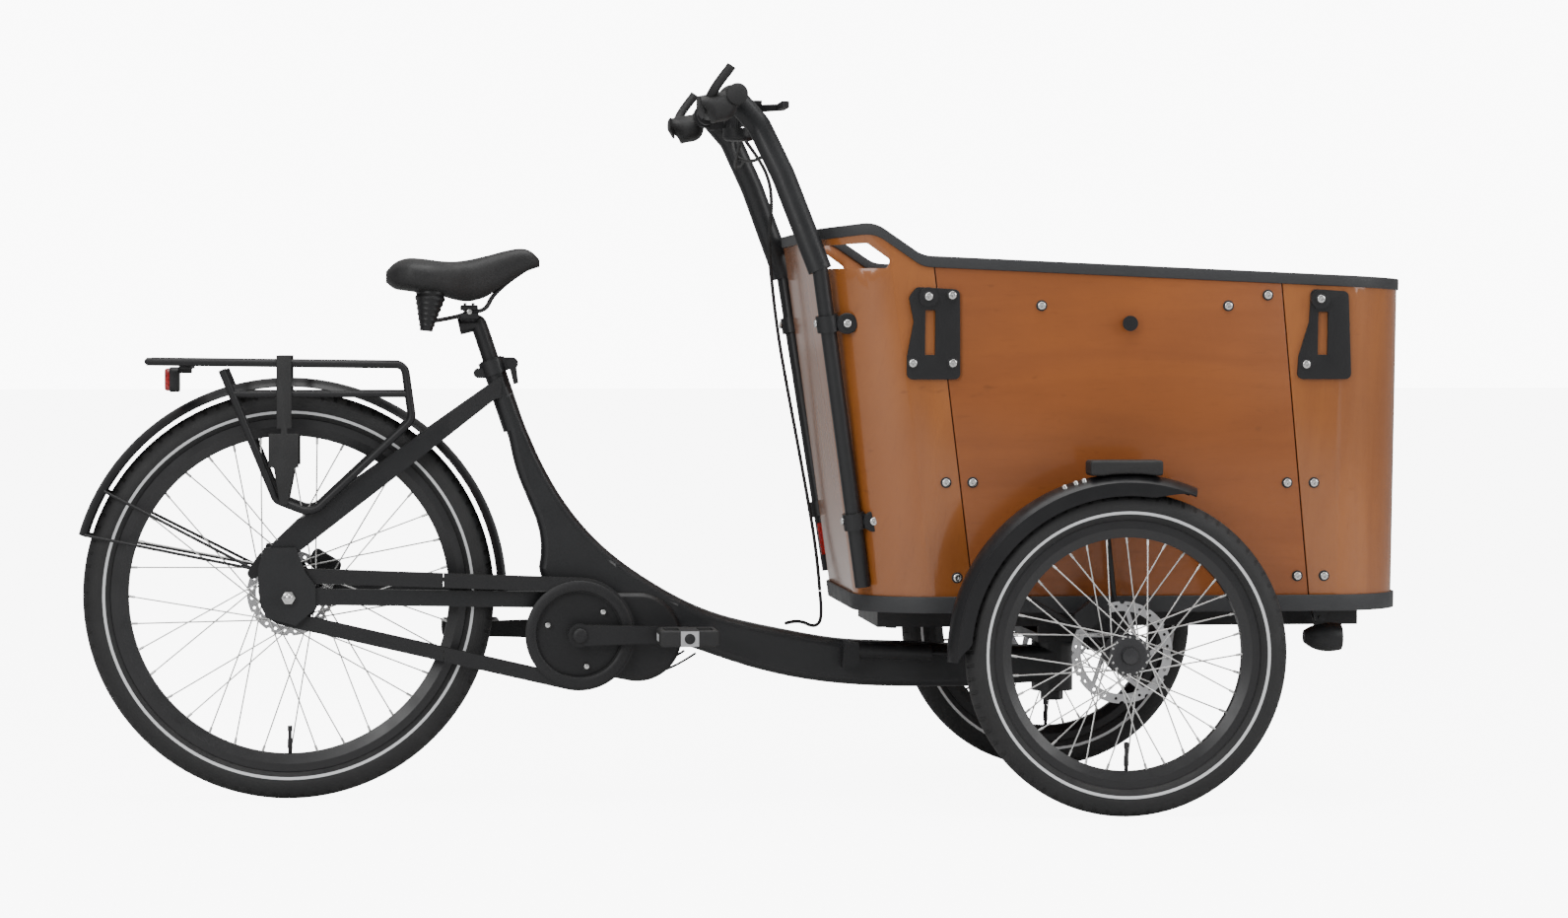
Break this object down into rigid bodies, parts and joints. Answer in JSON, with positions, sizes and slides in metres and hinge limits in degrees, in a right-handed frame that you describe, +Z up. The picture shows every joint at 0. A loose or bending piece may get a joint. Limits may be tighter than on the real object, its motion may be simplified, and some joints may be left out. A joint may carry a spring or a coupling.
{
  "type": "cargo tricycle",
  "caption": "Front-loading cargo tricycle with a wooden box between two small front wheels, a pedal motor, and a large rear wheel under a luggage rack.",
  "frame": {"origin": "on the ground, on the centre plane, half way along the overall length", "axes": "+X forward, +Y to the rider's left, +Z up"},
  "size_m": [2.1235, 0.85, 1.1681],
  "materials": {
    "frame_paint": "satin",
    "bar_black": "satin",
    "black_plastic": "satin",
    "black_rubber": "matte",
    "tyre_rubber": "matte",
    "rim_black": "satin",
    "hub_alloy": "brushed",
    "bright_steel": "polished",
    "plywood": "satin",
    "red_lens": "gloss",
    "saddle_cover": "satin",
    "saddle_black": "matte"
  },
  "bodies": {
    "rear_frame": {"main_frame": "frame_paint", "seat_stays": "frame_paint", "chain_stays": "frame_paint", "rear_axle": "bright_steel", "motor": "black_plastic", "chain": "bright_steel", "chain_cover": "black_plastic", "rear_mudguard": "black_plastic", "rack": "bar_black", "rack_strap": "black_rubber", "tail_light": "black_plastic", "tail_light_lens": "red_lens", "rear_caliper": "bar_black", "steering_damper": "bar_black"},
    "seat": {"seat_post": "bar_black", "saddle": "saddle_cover", "saddle_frame": "saddle_black"},
    "clamp_lever": {"seat_clamp_lever": "bar_black"},
    "rear_wheel": {"rear_tyre": "tyre_rubber", "rear_rim": "rim_black", "rear_spokes": "bright_steel", "rear_hub": "hub_alloy"},
    "sprocket": {"rear_sprocket": "bright_steel"},
    "cranks": {"crankset": "bar_black"},
    "right_pedal": {"pedal_right": "black_rubber"},
    "left_pedal": {"pedal_left": "black_rubber"},
    "front_carriage": {"front_chassis": "frame_paint", "front_calipers": "bar_black", "front_mudguard_left": "black_plastic", "front_mudguard_right": "black_plastic", "step_pads": "black_rubber", "box_floor": "plywood", "box_rear_panel": "plywood", "box_front_panel": "plywood", "box_side_left": "plywood", "box_side_right": "plywood", "rim_trim": "black_plastic", "bottom_belt": "black_plastic", "cover_brackets": "black_plastic", "box_screws": "bright_steel", "cover_studs": "black_plastic", "handlebar_posts": "frame_paint", "handlebar_arms": "frame_paint", "handlebar": "bar_black", "grips": "black_rubber", "bell": "black_plastic", "control_cable": "black_rubber", "cable_loop": "black_rubber", "reflector": "red_lens"},
    "front_wheel_left": {"front_tyre_left": "tyre_rubber", "front_rim_left": "rim_black", "front_spokes_left": "bright_steel", "front_hub_left": "hub_alloy"},
    "front_wheel_right": {"front_tyre_right": "tyre_rubber", "front_rim_right": "rim_black", "front_spokes_right": "bright_steel", "front_hub_right": "hub_alloy"},
    "brake_lever_right": {"brake_lever_right": "black_plastic"},
    "brake_lever_left": {"brake_lever_left": "black_plastic"},
    "lamp": {"headlight": "black_plastic"}
  },
  "joints": [
    {"name": "steering", "type": "hinge", "parent": "rear_frame", "child": "front_carriage", "pos_m": [0.52, 0, 0.21], "axis": [0, 0, 1], "range_deg": [-35, 35]},
    {"name": "seat_height", "type": "slide", "parent": "rear_frame", "child": "seat", "axis": [-0.3173, 0, 0.9483], "range_m": [-0.05, 0.07]},
    {"name": "clamp_lever_hinge", "type": "hinge", "parent": "rear_frame", "child": "clamp_lever", "pos_m": [-0.36756, 0, 0.70372], "axis": [0, -1, 0], "range_deg": [0, 80]},
    {"name": "rear_wheel_spin", "type": "hinge", "parent": "rear_frame", "child": "rear_wheel", "pos_m": [-0.727, 0, 0.33], "axis": [0, 1, 0], "continuous": true},
    {"name": "crank_spin", "type": "hinge", "parent": "rear_frame", "child": "cranks", "pos_m": [-0.262, 0, 0.267], "axis": [0, 1, 0], "continuous": true},
    {"name": "sprocket_spin", "type": "hinge", "parent": "rear_frame", "child": "sprocket", "pos_m": [-0.727, 0, 0.33], "axis": [0, 1, 0], "continuous": true},
    {"name": "right_pedal_spin", "type": "hinge", "parent": "cranks", "child": "right_pedal", "pos_m": [-0.092, -0.14, 0.267], "axis": [0, 1, 0], "continuous": true},
    {"name": "left_pedal_spin", "type": "hinge", "parent": "cranks", "child": "left_pedal", "pos_m": [-0.432, 0.14, 0.267], "axis": [0, 1, 0], "continuous": true},
    {"name": "front_wheel_left_spin", "type": "hinge", "parent": "front_carriage", "child": "front_wheel_left", "pos_m": [0.573, 0.385, 0.253], "axis": [0, 1, 0], "continuous": true},
    {"name": "front_wheel_right_spin", "type": "hinge", "parent": "front_carriage", "child": "front_wheel_right", "pos_m": [0.573, -0.385, 0.253], "axis": [0, 1, 0], "continuous": true},
    {"name": "brake_lever_right_pull", "type": "hinge", "parent": "front_carriage", "child": "brake_lever_right", "pos_m": [0.008, -0.216, 1.106], "axis": [0, 0, -1], "range_deg": [0, 14], "stiffness_Nm_per_rad": 0.8, "springref_deg": -8.59},
    {"name": "brake_lever_left_pull", "type": "hinge", "parent": "front_carriage", "child": "brake_lever_left", "pos_m": [0.008, 0.216, 1.106], "axis": [0, 0, 1], "range_deg": [0, 14], "stiffness_Nm_per_rad": 0.8, "springref_deg": -8.59},
    {"name": "lamp_tilt", "type": "hinge", "parent": "front_carriage", "child": "lamp", "pos_m": [0.912, -0.235, 0.298], "axis": [0, 1, 0], "range_deg": [-18, 18]}
  ],
  "couplings": [
    {"joint": "sprocket_spin", "follows": "crank_spin", "ratio": 2.2222}
  ]
}
